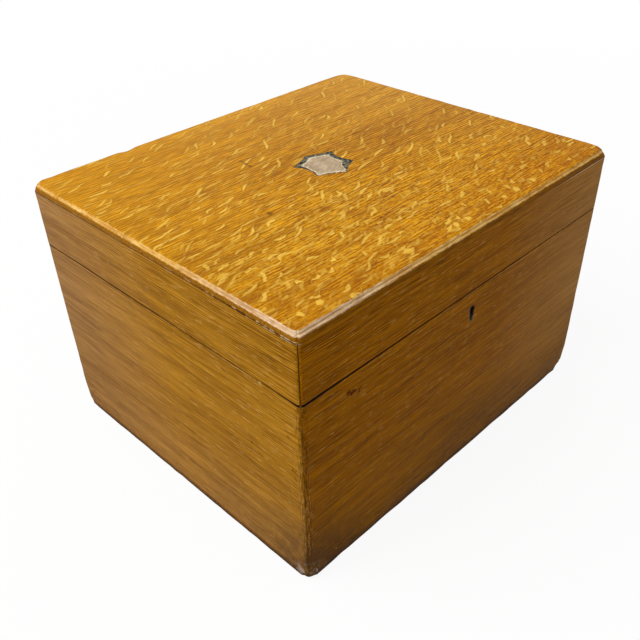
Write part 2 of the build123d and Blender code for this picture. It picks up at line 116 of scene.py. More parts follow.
class Graph:
    """A material written as a chain of calls. Sockets and plain numbers mix freely."""

    def __init__(self, name, tree=None):
        self.material = None
        if tree is None:
            self.material = bpy.data.materials.new(name)
            self.material.use_nodes = True
            tree = self.material.node_tree
        self.tree = tree
        tree.nodes.clear()

    def put(self, socket, value):
        if isinstance(value, bpy.types.NodeSocket):
            self.tree.links.new(value, socket)
        elif value is not None:
            socket.default_value = value

    def node(self, kind, inputs=(), **settings):
        made = self.tree.nodes.new("ShaderNode" + kind)
        for key, value in settings.items():
            setattr(made, key, value)
        for key, value in dict(inputs).items():
            self.put(made.inputs[key], value)
        return made

    def place(self):
        """The point in the box's own frame, in millimetres."""
        coords = self.node("TexCoord").outputs["Object"]
        return self.vec("MULTIPLY", coords, (1000, 1000, 1000))

    def math(self, operation, a, b=None, c=None):
        return self.node("Math", {0: a, 1: b, 2: c}, operation=operation).outputs[0]

    def add(self, a, b):
        return self.math("ADD", a, b)

    def sub(self, a, b):
        return self.math("SUBTRACT", a, b)

    def mul(self, a, b):
        return self.math("MULTIPLY", a, b)

    def most(self, a, b):
        return self.math("MAXIMUM", a, b)

    def total(self, *pairs):
        """The weighted sum of (socket, weight) pairs."""
        out = self.mul(*pairs[0])
        for socket, weight in pairs[1:]:
            out = self.math("MULTIPLY_ADD", socket, weight, out)
        return out

    def vec(self, operation, a, b):
        made = self.node("VectorMath", {0: a, 1: b}, operation=operation)
        return made.outputs["Value" if operation in ("DISTANCE", "DOT_PRODUCT") else "Vector"]

    def split(self, vector):
        return self.node("SeparateXYZ", {0: vector}).outputs[:3]

    def join(self, x, y, z=0.0):
        return self.node("CombineXYZ", {0: x, 1: y, 2: z}).outputs[0]

    def noise(self, vector, detail=2, rough=0.5, colour=False):
        made = self.node(
            "TexNoise", {"Vector": vector, "Scale": 1.0, "Detail": detail, "Roughness": rough}
        )
        return made.outputs["Color" if colour else "Fac"]

    def stretched(self, vector, sizes, detail=2, rough=0.5, low=0.3, high=0.7):
        """Noise whose blobs are of these sizes in millimetres, spread to the range 0 to 1."""
        scaled = self.vec("DIVIDE", vector, sizes)
        return self.range(self.noise(scaled, detail, rough), low, high)

    def range(self, value, a, b, c=0.0, d=1.0, smooth=False):
        made = self.node(
            "MapRange",
            {"Value": value, "From Min": a, "From Max": b, "To Min": c, "To Max": d},
            interpolation_type="SMOOTHSTEP" if smooth else "LINEAR",
        )
        return made.outputs["Result"]

    def mix(self, amount, a, b):
        made = self.node("Mix", data_type="RGBA")
        self.put(made.inputs[0], amount)
        self.put(made.inputs[6], a)
        self.put(made.inputs[7], b)
        return made.outputs[2]

    def attribute(self, name):
        return self.node("Attribute", attribute_name=name).outputs["Fac"]

    def line(self, value, at, half, soft):
        """1 on the line where value is at, falling to 0 outside half by soft."""
        off = self.math("ABSOLUTE", self.sub(value, at))
        return self.range(off, half + soft, half)

    def spots(self, vector, rows):
        """1 inside any of the round spots (x, y, z, radius), soft at the rim."""
        out = 0.0
        for x, y, z, radius in rows:
            off = self.vec("DISTANCE", vector, (x, y, z))
            out = self.most(out, self.range(off, radius * 1.25, radius * 0.6, smooth=True))
        return out

    def bump(self, height, distance, strength):
        """A normal for a height between 0 and 1, which stands for distance millimetres."""
        made = self.node(
            "Bump", {"Strength": strength, "Distance": distance * MM, "Height": height}
        )
        return made.outputs["Normal"]

    def seen(self):
        """1 where the camera sees it, also in a reflection or through glass."""
        path = self.node("LightPath").outputs
        mirrored = self.most(path["Is Glossy Ray"], path["Is Transmission Ray"])
        return self.most(path["Is Camera Ray"], mirrored)

    def surface(self, **inputs):
        """Ends the material in one Principled shader."""
        shader = self.node("BsdfPrincipled")
        for key, value in inputs.items():
            self.put(shader.inputs[key.replace("_", " ")], value)
        out = self.node("OutputMaterial")
        self.put(out.inputs["Surface"], shader.outputs[0])
        return self.material


# Oak

GRAIN_ORDER = {"x": (0, 1, 2), "y": (1, 0, 2)}
# How much of the change of tone comes from bands, lines, clouds, streaks and growth rings.
FIGURE = (0.3, 0.26, 0.14, 0.22, 0.55)
FRONT_FIGURE = (0.14, 0.28, 0.14, 0.27, 0.5)
TOP_FIGURE = (0.28, 0.22, 0.16, 0.2, 0.7)
OAK_GLOSS = 0.015
OAK_ROUGHNESS = (0.36, 0.52)
VARNISH = (255, 196, 84)
# Bare wood on the edges, its pale stripes partly a painted highlight on the rounded edges: worn by
# the near corner, rubbed further along, dull below the lid.
WORN_HIGHLIGHT = (255, 228, 190)
WORN_DEEP = (200, 160, 120)
RUBBED_HIGHLIGHT = (252, 212, 132)
RUBBED_DEEP = (214, 158, 76)
DULL_TONE = (200, 152, 80)
# Joint lines, partly painted shade in their gaps, painted highlights by the joints, dirt, chips and
# marks
JOINT_BROWN = (74, 34, 8)
GAP_SHADE_BLACK = (20, 10, 7)
JOINT_GLINT = (255, 222, 180)
SEAM_HIGHLIGHT = (214, 166, 104)
BAND_DARK = (92, 52, 14)
BAND_PALE = (206, 160, 98)
SOIL_TONE = (76, 50, 28)
BARED_TONE = (204, 180, 156)
GRIME_TONE = (52, 30, 14)
CHIP_PALE = (226, 196, 148)
CHIP_DARK = (34, 22, 12)
STAIN_RED = (84, 26, 2)
STAIN_DARK = (58, 34, 10)
STAIN_PALE = (230, 196, 140)


class Oak(Graph):
    """Oak whose grain runs along one axis. pale and deep are its two tones, pore its dark one.

    offset moves the pattern, reach scales the length of its lines, and pitch is the distance
    between growth rings in millimetres.
    """

    def __init__(
        self, name, along, pale, deep, pore, offset=0.0, figure=FIGURE, reach=1.0, pitch=1.7
    ):
        super().__init__(name)
        self.at = self.place()
        parts = self.split(self.at)
        self.x, self.y, self.z = parts
        grain = self.join(*[parts[i] for i in GRAIN_ORDER[along]])
        grain = self.vec("ADD", grain, (offset, offset * 0.7, offset * 0.4))
        self.grain = grain
        sway = self.noise(self.vec("DIVIDE", grain, (130, 30, 30)), 2, colour=True)
        sway = self.vec("MULTIPLY", self.vec("SUBTRACT", sway, (0.5, 0.5, 0.5)), (0, 5, 5))
        swayed = self.vec("ADD", grain, sway)
        bands = self.stretched(swayed, (260, 9, 9))
        self.lines = self.stretched(swayed, (64 * reach, 1.2, 1.2), 1, 0.5, 0.36, 0.64)
        self.streaks = self.stretched(swayed, (34 * reach, 0.95, 0.95), 1, 0.5, 0.36, 0.62)
        pores = self.stretched(swayed, (20 * reach, 0.8, 0.8), 1, 0.5, 0.57, 0.7)
        self.clouds = self.stretched(grain, (110, 45, 45))
        self.fine = self.noise(self.vec("DIVIDE", grain, (5, 1.6, 1.6)), 4, 0.65)
        rings = self.even_lines(swayed, reach, pitch)
        parts = (bands, self.lines, self.clouds, self.streaks, rings)
        share = self.total(*zip(parts, figure))
        middle = sum(figure) / 2
        self.share = self.range(share, middle - 0.32, middle + 0.32)
        self.colour = self.tones(deep, pale)
        self.paint(pore, self.mul(pores, 0.55))
        self.height = self.total((rings, 0.35), (pores, -0.6), (self.fine, 0.5))

    def tones(self, deep, pale):
        """The grain again, between two other tones."""
        return self.mix(self.share, linear(deep), linear(pale))

    def even_lines(self, vector, reach, pitch):
        """The growth rings where the saw cut them: even lines that drift and fade."""
        _, across, deep = self.split(vector)
        drift = self.noise(self.vec("DIVIDE", vector, (100 * reach, 5, 5)), 2, 0.6)
        fade = self.stretched(vector, (60 * reach, 4, 4), 2, 0.6, 0.3, 0.6)
        phase = self.total((across, 1 / pitch), (deep, 1 / pitch), (drift, 1.9))
        wave = self.math("SINE", self.mul(phase, math.tau))
        return self.math("MULTIPLY_ADD", self.mul(wave, 0.5), fade, 0.5)

    def paint(self, tone, amount):
        """Lays a tone, three numbers or a socket, over the colour so far."""
        if isinstance(tone, tuple):
            tone = linear(tone)
        self.colour = self.mix(amount, self.colour, tone)

    def age(self):
        """Joint lines, partly painted shade in their gaps, with painted highlights beside them;
        dirt; and worn edges, their pale tones partly a painted highlight. aged() gives a board the
        worn and grime values.
        """
        self.broken = self.stretched(self.at, (9, 9, 9), 3, 0.65)
        joints_and_gap_shade, wide = self.joint_lines()
        self.corner_band()
        self.dirt()
        self.bare_edges()
        self.chips()
        # Dark joint lines, brown and near black where wide, partly painted shade in the gaps of the
        # seam, the top board's joint and the mitre.
        self.paint(self.mix(wide, linear(JOINT_BROWN), linear(GAP_SHADE_BLACK)), joints_and_gap_shade)

    def joint_lines(self):
        """Where the seam, the top board's joint and the near mitre are dark, partly painted shade
        in their gaps, and how wide; also paints highlights beside them.
        """
        x, y, z = self.x, self.y, self.z
        skin = self.most(
            self.range(self.math("ABSOLUTE", x), WIDTH / 2 - 1.6, WIDTH / 2 - 0.6),
            self.range(self.math("ABSOLUTE", y), DEPTH / 2 - 1.6, DEPTH / 2 - 0.6),
        )
        on_front = self.range(y, FRONT + 1.5, FRONT + 0.5)
        # The top board's dark joint line, partly painted shade in its gap.
        joint = self.line(z, TOP_JOINT_AT, 0.25, 0.35)
        joint = self.mul(joint, self.range(self.broken, 0.3, 0.6, 0.4, 0.9))
        shut = self.mul(on_front, self.range(x, 110, 80))
        joint = self.mul(joint, self.range(shut, 0, 1, 1, 0.3))
        # A painted highlight: a thin pale line on the lid rail's lip, just below the top board's
        # joint, at the front's right end.
        glint = self.line(z, TOP_JOINT_AT - 0.7, 0.15, 0.3)
        glint = self.mul(glint, self.range(x, 96, 125, 0, 0.75))
        self.paint(JOINT_GLINT, self.mul(glint, on_front))
        wide = self.mul(self.range(x, 150, -160), self.range(y, -110, -137, 0.35, 1))
        half = self.range(wide, 0, 1, 0.05, 0.8)
        # The seam's dark line: a dark joint and painted shade in the gap between lid and box.
        off = self.math("ABSOLUTE", self.sub(z, SEAM_AT - 0.05))
        strong = self.most(wide, self.range(y, -60, 60, 0.2, 0.8))
        seam = self.range(self.sub(off, half), 0.42, 0.0)
        seam = self.mul(seam, self.range(strong, 0, 1, 0.3, 0.97))
        # A painted highlight on the box's edge just below the seam.
        lit = self.line(z, SEAM_AT - 1.1, 0.15, 0.35)
        lit = self.mul(lit, self.range(self.broken, 0.4, 0.7, 0, 0.4))
        self.paint(SEAM_HIGHLIGHT, self.mul(lit, skin))
        # The opened mitre's dark line, partly painted shade in its gap.
        ragged = self.total((self.sub(x, y), 1.0), (self.fine, 0.8))
        mitre = self.line(ragged, MITRE_AT + 0.4, 0.45, 0.3)
        mitre = self.mul(mitre, self.range(z, SEAM_AT - 1, SEAM_AT + 1, 0.2, 1))
        by_corner = self.range(self.add(x, y), CORNER_AT + 13.5, CORNER_AT + 9.5)
        mitre = self.mul(mitre, self.mul(by_corner, self.range(z, 206.6, 206)))
        return self.mul(self.most(seam, self.most(joint, mitre)), skin), wide

    def corner_band(self):
        """The rubbed and cracked strip along the near corner, below the seam."""
        upright = self.stretched(self.at, (0.9, 0.9, 7), 3, 0.7)
        band = self.range(self.add(self.x, self.y), CORNER_AT + 7, CORNER_AT + 4)
        band = self.mul(band, self.range(self.z, SEAM_AT - 0.5, SEAM_AT - 1.5))
        self.paint(BAND_DARK, self.mul(band, self.range(upright, 0.45, 0.75, 0, 0.6)))
        rubbed = self.mul(self.range(self.z, 135, 60), self.range(upright, 0.42, 0.2, 0, 0.55))
        self.paint(BAND_PALE, self.mul(band, rubbed))

    def dirt(self):
        """The near foot corner, soiled and bared in places, and grime where aged() puts it."""
        close = self.vec("DISTANCE", self.at, (LEFT, FRONT, 0))
        soiled = self.mul(self.range(close, 66, 12), self.range(self.broken, 0.15, 0.6, 0.4, 1))
        self.paint(SOIL_TONE, self.mul(soiled, 0.85))
        bared = self.mul(self.range(close, 20, 9), self.range(self.broken, 0.5, 0.64, 0, 0.75))
        self.paint(BARED_TONE, bared)
        grime = self.total((self.attribute("grime"), 1.0), (self.fine, 0.9))
        self.paint(GRIME_TONE, self.mul(self.range(grime, 0.85, 1.3), 0.8))

    def bare_edges(self):
        """Bare wood in stripes along the edges, where aged() puts it, pushed pale so that it also
        paints the highlight on the rounded edges.
        """
        rubs = self.stretched(self.at, (3.5, 3.5, 1.2), 4, 0.75, 0.25, 0.75)
        rim = self.attribute("worn")
        worn = self.range(self.total((rim, 1.0), (rubs, 0.3)), 0.76, 0.92)
        along = self.join(rim, self.x, self.y)
        stripes = self.stretched(along, (0.15, 12, 12), 2, 0.6, 0.36, 0.64)
        bare = self.mix(stripes, linear(WORN_DEEP), linear(WORN_HIGHLIGHT))
        rubbed = self.mix(stripes, linear(RUBBED_DEEP), linear(RUBBED_HIGHLIGHT))
        from_corner = self.vec("DISTANCE", self.at, (LEFT, FRONT, HEIGHT))
        tone = self.mix(self.range(from_corner, 30, 115), bare, rubbed)
        tone = self.mix(self.range(self.z, 150, 200), linear(DULL_TONE), tone)
        # The pale stripes stand for bare wood and also for a painted highlight on the rounded
        # edges.
        self.paint(tone, self.mul(worn, self.range(rubs, 0.2, 0.8, 0.6, 0.95)))

    def chips(self):
        """Pale and dark chips at the top board's joint on the left, more towards the front."""
        on_left = self.range(self.x, LEFT + 4, LEFT + 1)
        there = self.mul(on_left, self.range(self.y, -20, -110, 0.25, 1))
        there = self.mul(there, self.range(self.z, TOP_JOINT_AT - 1.1, TOP_JOINT_AT - 0.6))
        there = self.mul(there, self.range(self.z, TOP_JOINT_AT + 1.4, TOP_JOINT_AT + 0.8))
        self.paint(CHIP_PALE, self.mul(there, self.range(self.broken, 0.57, 0.66, 0, 0.9)))
        self.paint(CHIP_DARK, self.mul(there, self.range(self.broken, 0.48, 0.38, 0, 0.9)))

    def loosened(self, blob, reach):
        """The point moved about by noise, so that what is drawn there gets a ragged rim."""
        wander = self.noise(self.vec("DIVIDE", self.at, (blob, blob, blob)), 2, colour=True)
        wander = self.vec("SUBTRACT", wander, (0.5, 0.5, 0.5))
        return self.vec("ADD", self.at, self.vec("MULTIPLY", wander, reach))

    def marks(self, dark, pale=(), red=()):
        """Small stains, bruises and smudges, ragged at the rim."""
        loose = self.loosened(2.5, (7.0, 7.0, 4.0))
        for rows, tone, amount in (
            (red, STAIN_RED, 0.85), (dark, STAIN_DARK, 0.6), (pale, STAIN_PALE, 0.7),
        ):
            if rows:
                self.paint(tone, self.mul(self.spots(loose, rows), amount))

    def done(self, gloss=OAK_GLOSS, rough=OAK_ROUGHNESS):
        roughness = self.range(self.total((self.lines, 0.5), (self.fine, 0.5)), 0.2, 0.8, *rough)
        return self.surface(
            Base_Color=self.colour,
            Roughness=roughness,
            Specular_IOR_Level=gloss,
            Specular_Tint=linear(VARNISH),
            Normal=self.bump(self.height, 0.12, 0.8),
        )


def plain_oak(name, along, offset):
    """The unvarnished oak of the dividers."""
    wood = Oak(name, along, (196, 148, 86), (158, 108, 54), (128, 84, 40), offset)
    return wood.done(0.2, (0.5, 0.65))


# Each row of flecks: tilt in degrees, cell (long, wide), half length, half width, where they
# are dense as (x from, x full, y from, y full), strength, and how much they differ in tilt.
FLECKS = (
    (5, (21, 7), 8.0, 0.65, (170, -60, -15, 50), 0.85, 12),
    (17, (25, 10), 8.5, 1.15, (150, 30, -75, -10), 1.0, 24),
    (40, (24, 12), 8.0, 1.15, (-70, 30, -95, -55), 1.0, 22),
    (22, (13, 8), 4.6, 1.5, (400, 390, -15, -60), 1.0, 50),
    (8, (19, 9), 5.8, 1.25, (150, -30, -20, -60), 1.0, 30),
    (12, (17, 7), 6.5, 0.95, (10, -70, 100, 20), 1.0, 40),
)
FLECK_TONE = (255, 208, 84)
FLECK_SHADE = (134, 70, 0)
TOP_BRIGHT = (255, 194, 42)
TOP_SHADE = (112, 50, 0)
TOP_BROWN = (150, 84, 2)
TOP_UMBER = (124, 62, 0)
TOP_AMBER = (186, 100, 0)
TOP_RUSSET = (170, 88, 0)
TOP_HONEY = (244, 176, 40)
# The paler tones far away on the top, a painted sheen.
TOP_FAR_SHEEN = ((182, 118, 10), (246, 186, 74))
# The deep and the pale tone of the top board's upright edges.
TOP_SIDES = ((128, 78, 8), (176, 118, 26))
TOP_FACES = ((118, 68, 2), (166, 106, 8))
DASH_TONE = (222, 172, 96)
SCUFF_PALE = (176, 128, 72)
SCUFF_DARK = (58, 34, 8)
# Marks as spots: x, y, z and radius. A side's marks are its dark, its pale and its red ones.
TOP_STAINS = (
    (-82, -27, 210, 2.6), (-40, 40, 210, 1.8), (-40, 46, 210, 2.2), (-39, 52, 210, 1.6),
    (-60, -24, 210, 1.4), (145, 10, 210, 1.8),
)
LEFT_MARKS = (
    (
        (-165, 92, 47, 0.9), (-165, 85, 86, 0.9), (-165, 46, 91, 0.9), (-165, -91, 102, 0.9),
        (-165, -103, 116, 0.9), (-165, -128, 203, 1.4), (-165, -127, 130, 1.1),
        (-165, -130, 104, 1.6), (-165, -131, 97, 1.3), (-165, -132, 46, 1.2),
    ),
    (
        (-165, -45, 44, 0.8), (-165, -69, 24, 0.9), (-165, -104.5, 160, 1.2),
        (-165, -100, 159, 0.8), (-164.5, -134, 6, 2.2), (-165, -130, 3, 1.4),
        (-164, -136, 11, 1.3),
    ),
)
FRONT_MARKS = (
    (
        (100, -138.5, 117, 0.9), (101, -138.5, 84, 0.8), (112, -138.5, 35, 0.9),
        (85, -138.5, 180, 0.8), (-66, -138.5, 22, 0.9), (-24, -138.5, 191, 0.8),
        (-160, -138.5, 92, 1.2), (-158, -138.5, 70, 1.4),
        (131, -138.5, 178, 0.7), (131, -138.5, 173, 0.8), (131, -138.5, 168, 0.7),
        (-77, -138.5, 203, 0.8),
    ),
    ((-138, -138.5, 14, 0.9), (40, -138.5, 27, 0.7), (-161, -138, 6, 1.9), (-155, -138.5, 10, 1.1)),
    ((-122, -138.5, 145, 2.3), (-126, -138.5, 146.5, 1.9), (-116, -138.5, 143, 1.7)),
)
# Where larger flecks lie along the front edge of the top.
EDGE_FLECKS = (-150, -135, -58, -12, 0, 42, 57, 78)
EDGE_FLECKS_AT = -127.5


class Top(Oak):
    """The lid's top: oak cut on the quarter, with its pale wandering flecks."""

    def flecks(self, number, tilt, cell, half_long, half_wide, dense, strength, differ):
        """A row of FLECKS: how strong the flecks are at a point, and the shade round them."""
        shift = (number * 13.7, number * 7.3, 0)
        tilt = math.radians(tilt)
        flat = self.vec("MULTIPLY", self.at, (1, 1, 0))
        along = self.vec("DOT_PRODUCT", flat, (math.cos(tilt), math.sin(tilt), 0))
        across = self.vec("DOT_PRODUCT", flat, (-math.sin(tilt), math.cos(tilt), 0))
        turned = self.join(along, across)
        spread = (*cell, 1)
        scaled = self.vec("ADD", self.vec("DIVIDE", turned, spread), shift)
        cells = self.node(
            "TexVoronoi", {"Vector": scaled, "Scale": 1.0, "Randomness": 0.95},
            voronoi_dimensions="2D",
        ).outputs
        middle = self.vec("MULTIPLY", self.vec("SUBTRACT", cells["Position"], shift), spread)
        luck = self.split(cells["Color"])
        off = self.split(self.vec("SUBTRACT", turned, middle))
        swing = self.mul(self.sub(luck[0], 0.5), math.radians(differ))
        cos, sin = self.math("COSINE", swing), self.math("SINE", swing)
        u = self.add(self.mul(off[0], cos), self.mul(off[1], sin))
        v = self.sub(self.mul(off[1], cos), self.mul(off[0], sin))
        reach = self.range(luck[1], 0, 1, half_long * 0.45, half_long * 1.35)
        u = self.math("DIVIDE", u, reach)
        phase = self.math("MULTIPLY_ADD", u, 2.0, self.mul(luck[2], 40.0))
        bend = self.mul(self.math("SINE", phase), half_wide * 0.9)
        wave = self.mul(self.sub(self.wander, 0.5), half_wide * 2.4)
        v = self.math("ABSOLUTE", self.add(v, self.add(bend, wave)))
        taper = self.math("SQRT", self.most(self.sub(1, self.mul(u, u)), 0))
        width = self.mul(self.mul(taper, half_wide), self.range(self.ragged, 0.3, 0.7, 0.7, 1.3))
        rim = self.sub(v, width)
        x_from, x_full, y_from, y_full = dense
        there = self.mul(self.range(self.x, x_from, x_full), self.range(self.y, y_from, y_full))
        kept = self.range(self.sub(self.mul(there, 0.86), luck[2]), -0.02, 0.08)
        bright = self.math("POWER", self.math("FRACT", self.mul(luck[0], 17.0)), 1.5)
        bright = self.range(bright, 0, 1, 0.14 * strength, strength)
        there = self.mul(kept, bright)
        inner = self.mul(there, self.range(self.share, 0, 0.8, 0.6, 1))
        inner = self.mul(self.range(rim, 0.6, -0.6), inner)
        return inner, self.mul(self.range(rim, 1.6, 0.4), there)

    def all_flecks(self):
        self.wander = self.noise(self.vec("DIVIDE", self.at, (8, 6, 5)), 1)
        self.ragged = self.noise(self.vec("DIVIDE", self.at, (2.2, 1.4, 2)), 2)
        pale = shade = 0.0
        for number, row in enumerate(FLECKS):
            inner, outer = self.flecks(number, *row)
            pale = self.most(pale, inner)
            shade = self.most(shade, outer)
        rows = [(x, EDGE_FLECKS_AT + (x % 7) * 0.5, HEIGHT, 2.6) for x in EDGE_FLECKS]
        blots = self.spots(self.loosened(4, (5, 5, 0)), rows)
        pale = self.most(pale, self.mul(blots, 0.8))
        pale = self.mul(pale, self.range(self.z, 207.5, 209.6))
        self.paint(FLECK_SHADE, self.mul(shade, 0.45))
        self.paint(FLECK_TONE, self.mul(pale, 0.9))
        self.height = self.total((self.height, 1.0), (pale, 0.6))

    def mottle(self):
        """Short pale and dark strokes between the lines, calmer towards the back right."""
        strokes = self.stretched(self.grain, (16, 1.3, 3), 3, 0.7, 0.35, 0.65)
        worms = self.stretched(self.grain, (3.2, 1.6, 3), 2, 0.6, 0.35, 0.65)
        near = self.range(self.y, 20, -90)
        strokes = self.total((strokes, 0.75), (self.mul(worms, near), 0.45))
        calm = self.range(self.total((self.y, 0.7), (self.x, 0.4)), 90, -60, 0.5, 1)
        self.paint(TOP_BRIGHT, self.mul(self.range(strokes, 0.5, 0.95, 0, 0.85), calm))
        self.paint(TOP_SHADE, self.mul(self.range(strokes, 0.48, 0.0), calm))

    def shift_tones(self):
        """Wide changes of tone: patches, browner near the left and front, and paler far away, where
        the pale tone is a painted sheen from the back right.
        """
        patchy = self.stretched(self.at, (60, 14, 30), 3, 0.6)
        self.paint(TOP_BROWN, self.mul(self.range(patchy, 0.6, 1.0), 0.5))
        near_left = self.range(self.total((self.x, -0.6), (self.y, -0.8)), 60, 190)
        self.paint(TOP_UMBER, self.mul(near_left, self.range(patchy, 0.2, 0.8, 0, 0.8)))
        self.paint(TOP_AMBER, self.range(self.y, -40, -138, 0, 0.3))
        near_right = self.total((self.x, 0.4), (self.y, -0.5))
        self.paint(TOP_RUSSET, self.range(near_right, 60, 135, 0, 0.3))
        # Paler far away: a painted sheen towards the back right.
        far = self.total((self.x, 0.6), (self.y, 0.6))
        self.paint(self.tones(*TOP_FAR_SHEEN), self.range(far, 0, 160, 0, 0.6))
        self.paint(TOP_HONEY, self.range(self.sub(self.y, self.x), -60, 220, 0, 0.3))

    def upright_edges(self):
        """The board's upright edges, in the tones of the sides and the front below them."""
        share = self.total((self.lines, 0.5), (self.streaks, 0.5))
        side = self.mix(share, *map(linear, TOP_SIDES))
        face = self.mix(share, *map(linear, TOP_FACES))
        turn = self.sub(self.math("ABSOLUTE", self.x), self.math("ABSOLUTE", self.y))
        by_face = self.range(turn, 1 - MITRE_AT, -1 - MITRE_AT)
        self.paint(self.mix(by_face, side, face), self.range(self.z, 208.8, 206.8))

    def make(self):
        self.mottle()
        self.shift_tones()
        self.all_flecks()
        self.upright_edges()
        self.marks(TOP_STAINS)
        self.age()
        return self.done(rough=(0.36, 0.5))


def top_oak():
    wood = Top(
        "oak_top_board", "x", (232, 160, 12), (140, 76, 0), (96, 42, 0),
        figure=TOP_FIGURE, reach=0.3, pitch=2.5,
    )
    return wood.make()


def side_oak(name, along, pale, deep, pore, offset, lower, far, marks, figure=FIGURE):
    """The oak of the upright boards, darker towards the floor and paler towards one end; on the
    front that paler end is a painted reflection haze.

    lower is the deep and the pale tone there. far is the same for that end, with the place
    where the change starts and ends, measured along the grain.
    """
    wood = Oak(name, along, pale, deep, pore, offset, figure)
    dashes = wood.stretched(wood.grain, (9, 1.3, 1.3), 2, 0.6)
    wood.paint(DASH_TONE, wood.range(dashes, 0.72, 1.0, 0, 0.4))
    # The far end's tones: on the front, a painted reflection haze towards the right end.
    *far, start, end = far
    there = wood.range(wood.x if along == "x" else wood.y, start, end, 0, 0.65)
    wood.paint(wood.tones(*far), wood.mul(there, wood.range(wood.z, 10, 90, 0.5, 1)))
    tall = wood.total((wood.z, 1.0), (wood.clouds, 24.0))
    wood.paint(wood.tones(*lower), wood.range(tall, 100, 18, 0, 0.6))
    scuffs = wood.stretched(wood.at, (7, 7, 1.6), 3, 0.7)
    foot = wood.range(wood.total((wood.z, 1.0), (wood.clouds, 30.0)), 56, 16)
    wood.paint(SCUFF_PALE, wood.mul(foot, wood.range(scuffs, 0.6, 0.95, 0, 0.4)))
    wood.paint(SCUFF_DARK, wood.mul(foot, wood.range(scuffs, 0.42, 0.08, 0, 0.7)))
    wood.marks(*marks)
    wood.age()
    return wood.done()


# Other materials


def metal(name, bright, dull):
    g = Graph(name)
    at = g.place()
    cloud = g.stretched(at, (6, 6, 6), 4, 0.65)
    fine = g.noise(g.vec("DIVIDE", at, (0.7, 0.7, 0.7)), 3)
    return g.surface(
        Base_Color=g.mix(cloud, linear(dull), linear(bright)),
        Metallic=1.0,
        Roughness=g.range(cloud, 0, 1, 0.5, 0.25),
        Normal=g.bump(fine, 0.03, 0.5),
    )


def dark_liner():
    """The keyhole's liner, blackened by years of keys and greenish at its foot."""
    g = Graph("dark_liner")
    at = g.place()
    low = g.range(g.split(at)[2], 139.5, 136.0)
    cloud = g.stretched(at, (2.5, 2.5, 2.5), 3, 0.6)
    worn = g.mix(cloud, linear((58, 58, 42)), linear((120, 120, 88)))
    return g.surface(
        Base_Color=g.mix(low, linear((26, 17, 10)), worn),
        Metallic=0.3,
        Roughness=0.7,
        Specular_IOR_Level=0.15,
        Normal=g.bump(cloud, 0.1, 0.6),
    )


def velvet(pale, deep):
    g = Graph("velvet")
    at = g.place()
    nap = g.noise(g.vec("DIVIDE", at, (0.5, 0.5, 0.5)), 3, 0.7)
    lay = g.stretched(at, (28, 20, 24), 3, 0.6)
    share = g.total((nap, 0.6), (lay, 0.45))
    return g.surface(
        Base_Color=g.mix(share, linear(deep), linear(pale)),
        Roughness=0.95,
        Specular_IOR_Level=0.1,
        Sheen_Weight=0.6,
        Sheen_Roughness=0.35,
        Sheen_Tint=linear((214, 96, 104)),
        Normal=g.bump(nap, 0.25, 0.7),
    )


# The floor's colour for the light that it throws on the box, and its colour where it is seen.
FLOOR_GREY = (0.6, 0.6, 0.6, 1)
FLOOR_WHITE = (0.97, 0.97, 0.97, 1)
# How far the floor reaches, and how far it lies below the box, in metres.
FLOOR_REACH = 6.0
FLOOR_DROP = 0.0002


def floor_material():
    """White to the camera and in reflections, with the box's soft shadow kept."""
    g = Graph("pale_floor")
    glow = g.range(g.vec("DISTANCE", g.place(), (0, 0, 0)), 250, 1300, 0.92, 1.0)
    seen = g.seen()
    card = g.node("BsdfDiffuse", {"Color": g.mix(seen, FLOOR_GREY, FLOOR_WHITE)})
    white = g.node("Emission", {"Color": (1, 1, 1, 1), "Strength": 1.0})
    blend = g.node("MixShader", {0: g.mul(seen, glow), 1: card.outputs[0], 2: white.outputs[0]})
    out = g.node("OutputMaterial")
    g.put(out.inputs["Surface"], blend.outputs[0])
    return g.material


def set_world(level):
    world = bpy.data.worlds.new("studio")
    bpy.context.scene.world = world
    world.use_nodes = True
    g = Graph("studio", world.node_tree)
    seen = g.seen()
    back = g.node("Background", {"Color": (1, 1, 1, 1), "Strength": g.range(seen, 0, 1, level, 1)})
    out = g.node("OutputWorld")
    g.put(out.inputs["Surface"], back.outputs[0])


def add_floor():
    mesh = bpy.data.meshes.new("floor")
    far = FLOOR_REACH
    corners = [(-far, -far, 0), (far, -far, 0), (far, far, 0), (-far, far, 0)]
    mesh.from_pydata(corners, [], [(0, 1, 2, 3)])
    floor = link("floor", mesh)
    floor.location.z = -FLOOR_DROP
    mesh.materials.append(floor_material())


# Worn boards

# How far from its ends a board is cut, and the step between cuts elsewhere, in millimetres.
EDGE_STEPS = (0.5, 1.1, 2.0, 3.2, 5.0, 8.0)
BOARD_STEP = 8.0
# Two faces that meet at an edge, how strongly it is worn, and how far the wear reaches.
WORN_EDGES = (
    ("top", "left", 1.25, 5.5), ("top", "front", 1.25, 6.5), ("top", "right", 0.95, 5.0),
    ("top", "back", 0.95, 5.0), ("left", "front", 0.55, 4.5), ("right", "front", 0.6, 4.0),
    ("left", "back", 0.6, 4.0), ("right", "back", 0.6, 4.0), ("foot", "left", 0.75, 5.0),
    ("foot", "front", 0.75, 5.0), ("foot", "right", 0.7, 5.0), ("foot", "back", 0.7, 5.0),
)
# Edges whose wear fades with the distance from a third face, and by how much.
FADING = {("top", "left"): "front", ("top", "front"): "left"}
FADING_BY = 0.2
# How strong the wear of the foot corners is, and its reach in radii of the corner.
FOOT_WEAR = 1.1
FOOT_WEAR_REACH = 1.9
# Grime: how strong it is and how far it reaches.
SEAM_GRIME = (0.75, 2.2)
CORNER_GRIME = (0.62, 9.0)
FOOT_GRIME = (1.15, 12.0)
# Each corner: left or right, front or back, and its worn radius at the top and at the foot.
CORNERS = ((-1, -1, 6.0, 5.5), (1, -1, 11.0, 9.0), (-1, 1, 9.0, 7.5), (1, 1, 13.0, 7.0))
